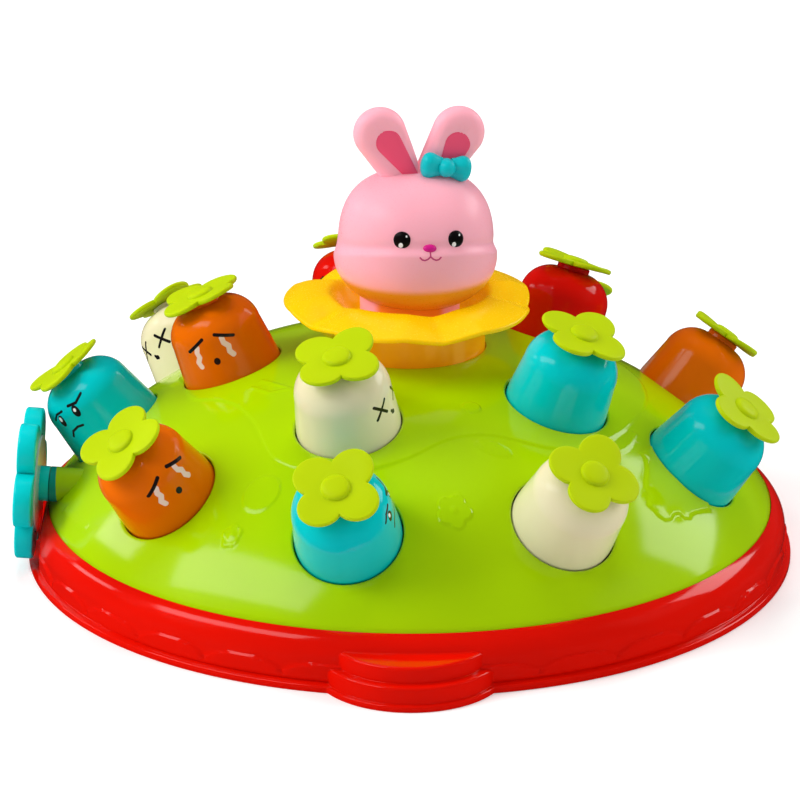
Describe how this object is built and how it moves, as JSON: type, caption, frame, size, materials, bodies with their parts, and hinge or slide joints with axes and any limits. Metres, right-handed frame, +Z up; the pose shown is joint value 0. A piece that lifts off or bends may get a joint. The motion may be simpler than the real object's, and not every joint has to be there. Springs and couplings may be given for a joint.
{
  "type": "whack-a-mole toy",
  "caption": "Domed whack-a-mole toy with rings of spring-loaded press buttons, a pressable rabbit head on a lit column in a flower dish, and a spinning side flower on a round base",
  "frame": {"origin": "centre of the ring-shaped standing face of the base, on the floor", "axes": "+Z up, the front with the moulded step and the rabbit's face towards -Y, +X to the right"},
  "size_m": [0.3225, 0.3343, 0.1878],
  "materials": {
    "red_shell": "glossy",
    "green_shell": "glossy",
    "turquoise_button": "glossy",
    "orange_button": "glossy",
    "white_button": "glossy",
    "red_button": "glossy",
    "leaf": "satin",
    "turquoise_shell": "glossy",
    "pink_shell": "glossy",
    "rose_pad": "satin",
    "bow": "glossy",
    "eye_black": "glossy",
    "nose_magenta": "glossy",
    "amber_column": "clear",
    "yellow_dish": "clear",
    "grey_plastic": "matte",
    "dark_plastic": "matte",
    "pad_rubber": "matte",
    "steel": "zinc plated",
    "spring_steel": "bright wire",
    "battery": "satin",
    "nickel": "plated",
    "board": "solder mask",
    "speaker": "matte",
    "mirror": "silvered film"
  },
  "bodies": {
    "base": {"base_ring": "red_shell", "bottom_cover": "red_shell", "bottom_screws": "steel", "dome_cover": "green_shell", "battery_door": "red_shell", "batteries": "battery", "battery_contacts": "nickel", "main_board": "board", "speaker": "speaker", "power_switch_body": "dark_plastic", "button_frame": "grey_plastic", "button_springs": "spring_steel", "button_pads": "pad_rubber", "light_column": "amber_column", "inner_screws": "steel", "column_floor": "grey_plastic", "lamp_board": "board", "flower_dish": "yellow_dish", "spinner_socket": "turquoise_shell", "spinner_axle": "steel", "rabbit_spring": "spring_steel"},
    "plunger_outer_1": {"button_outer_1": "turquoise_button", "leaf_outer_1": "leaf"},
    "plunger_outer_2": {"button_outer_2": "orange_button", "leaf_outer_2": "leaf"},
    "plunger_outer_3": {"button_outer_3": "turquoise_button", "leaf_outer_3": "leaf"},
    "plunger_outer_4": {"button_outer_4": "red_button", "leaf_outer_4": "leaf"},
    "plunger_outer_5": {"button_outer_5": "white_button", "leaf_outer_5": "leaf"},
    "plunger_outer_6": {"button_outer_6": "turquoise_button", "leaf_outer_6": "leaf"},
    "plunger_outer_7": {"button_outer_7": "orange_button", "leaf_outer_7": "leaf"},
    "plunger_outer_8": {"button_outer_8": "turquoise_button", "leaf_outer_8": "leaf"},
    "plunger_outer_9": {"button_outer_9": "white_button", "leaf_outer_9": "leaf"},
    "plunger_inner_1": {"button_inner_1": "turquoise_button", "leaf_inner_1": "leaf"},
    "plunger_inner_2": {"button_inner_2": "red_button", "leaf_inner_2": "leaf"},
    "plunger_inner_3": {"button_inner_3": "red_button", "leaf_inner_3": "leaf"},
    "plunger_inner_4": {"button_inner_4": "orange_button", "leaf_inner_4": "leaf"},
    "plunger_inner_5": {"button_inner_5": "white_button", "leaf_inner_5": "leaf"},
    "rabbit": {"rabbit_head": "pink_shell", "rabbit_neck": "pink_shell", "rabbit_ears": "pink_shell", "inner_ears": "rose_pad", "rabbit_bow": "bow", "rabbit_eyes": "eye_black", "rabbit_nose": "nose_magenta", "stem_clip": "steel"},
    "spinner": {"side_flower": "turquoise_shell", "side_mirror": "mirror"},
    "switch_knob": {"power_switch": "dark_plastic"}
  },
  "joints": [
    {"name": "press_outer_1", "type": "slide", "parent": "base", "child": "plunger_outer_1", "axis": [-0.5778, 0.2241, -0.7848], "range_m": [0, 0.01], "stiffness_N_per_m": 300, "springref_m": -0.004, "deforming": ["button_springs"]},
    {"name": "press_outer_2", "type": "slide", "parent": "base", "child": "plunger_outer_2", "axis": [-0.5867, -0.1997, -0.7848], "range_m": [0, 0.01], "stiffness_N_per_m": 300, "springref_m": -0.004, "deforming": ["button_springs"]},
    {"name": "press_outer_3", "type": "slide", "parent": "base", "child": "plunger_outer_3", "axis": [-0.321, -0.5301, -0.7848], "range_m": [0, 0.01], "stiffness_N_per_m": 300, "springref_m": -0.004, "deforming": ["button_springs"]},
    {"name": "press_outer_4", "type": "slide", "parent": "base", "child": "plunger_outer_4", "axis": [0.0948, -0.6124, -0.7848], "range_m": [0, 0.01], "stiffness_N_per_m": 300, "springref_m": -0.004, "deforming": ["button_springs"]},
    {"name": "press_outer_5", "type": "slide", "parent": "base", "child": "plunger_outer_5", "axis": [0.4663, -0.4082, -0.7848], "range_m": [0, 0.01], "stiffness_N_per_m": 300, "springref_m": -0.004, "deforming": ["button_springs"]},
    {"name": "press_outer_6", "type": "slide", "parent": "base", "child": "plunger_outer_6", "axis": [0.6196, -0.013, -0.7848], "range_m": [0, 0.01], "stiffness_N_per_m": 300, "springref_m": -0.004, "deforming": ["button_springs"]},
    {"name": "press_outer_7", "type": "slide", "parent": "base", "child": "plunger_outer_7", "axis": [0.483, 0.3883, -0.7848], "range_m": [0, 0.01], "stiffness_N_per_m": 300, "springref_m": -0.004, "deforming": ["button_springs"]},
    {"name": "press_outer_8", "type": "slide", "parent": "base", "child": "plunger_outer_8", "axis": [0.1204, 0.6079, -0.7848], "range_m": [0, 0.01], "stiffness_N_per_m": 300, "springref_m": -0.004, "deforming": ["button_springs"]},
    {"name": "press_outer_9", "type": "slide", "parent": "base", "child": "plunger_outer_9", "axis": [-0.2986, 0.5431, -0.7848], "range_m": [0, 0.01], "stiffness_N_per_m": 300, "springref_m": -0.004, "deforming": ["button_springs"]},
    {"name": "press_inner_1", "type": "slide", "parent": "base", "child": "plunger_inner_1", "axis": [-0.2956, 0.2244, -0.9286], "range_m": [0, 0.01], "stiffness_N_per_m": 300, "springref_m": -0.004, "deforming": ["button_springs"]},
    {"name": "press_inner_2", "type": "slide", "parent": "base", "child": "plunger_inner_2", "axis": [-0.3048, -0.2118, -0.9286], "range_m": [0, 0.01], "stiffness_N_per_m": 300, "springref_m": -0.004, "deforming": ["button_springs"]},
    {"name": "press_inner_3", "type": "slide", "parent": "base", "child": "plunger_inner_3", "axis": [0.1073, -0.3553, -0.9286], "range_m": [0, 0.01], "stiffness_N_per_m": 300, "springref_m": -0.004, "deforming": ["button_springs"]},
    {"name": "press_inner_4", "type": "slide", "parent": "base", "child": "plunger_inner_4", "axis": [0.3711, -0.0078, -0.9286], "range_m": [0, 0.01], "stiffness_N_per_m": 300, "springref_m": -0.004, "deforming": ["button_springs"]},
    {"name": "press_inner_5", "type": "slide", "parent": "base", "child": "plunger_inner_5", "axis": [0.1221, 0.3505, -0.9286], "range_m": [0, 0.01], "stiffness_N_per_m": 300, "springref_m": -0.004, "deforming": ["button_springs"]},
    {"name": "press_rabbit", "type": "slide", "parent": "base", "child": "rabbit", "axis": [0, 0, -1], "range_m": [0, 0.004], "stiffness_N_per_m": 800, "springref_m": -0.004, "deforming": ["rabbit_spring"]},
    {"name": "side_flower_spin", "type": "hinge", "parent": "base", "child": "spinner", "pos_m": [-0.1568, -0.021, 0.0335], "axis": [-0.9976, 0, 0.0698], "continuous": true},
    {"name": "power_switch_slide", "type": "slide", "parent": "base", "child": "switch_knob", "axis": [1, 0, 0], "range_m": [0, 0.005]}
  ]
}
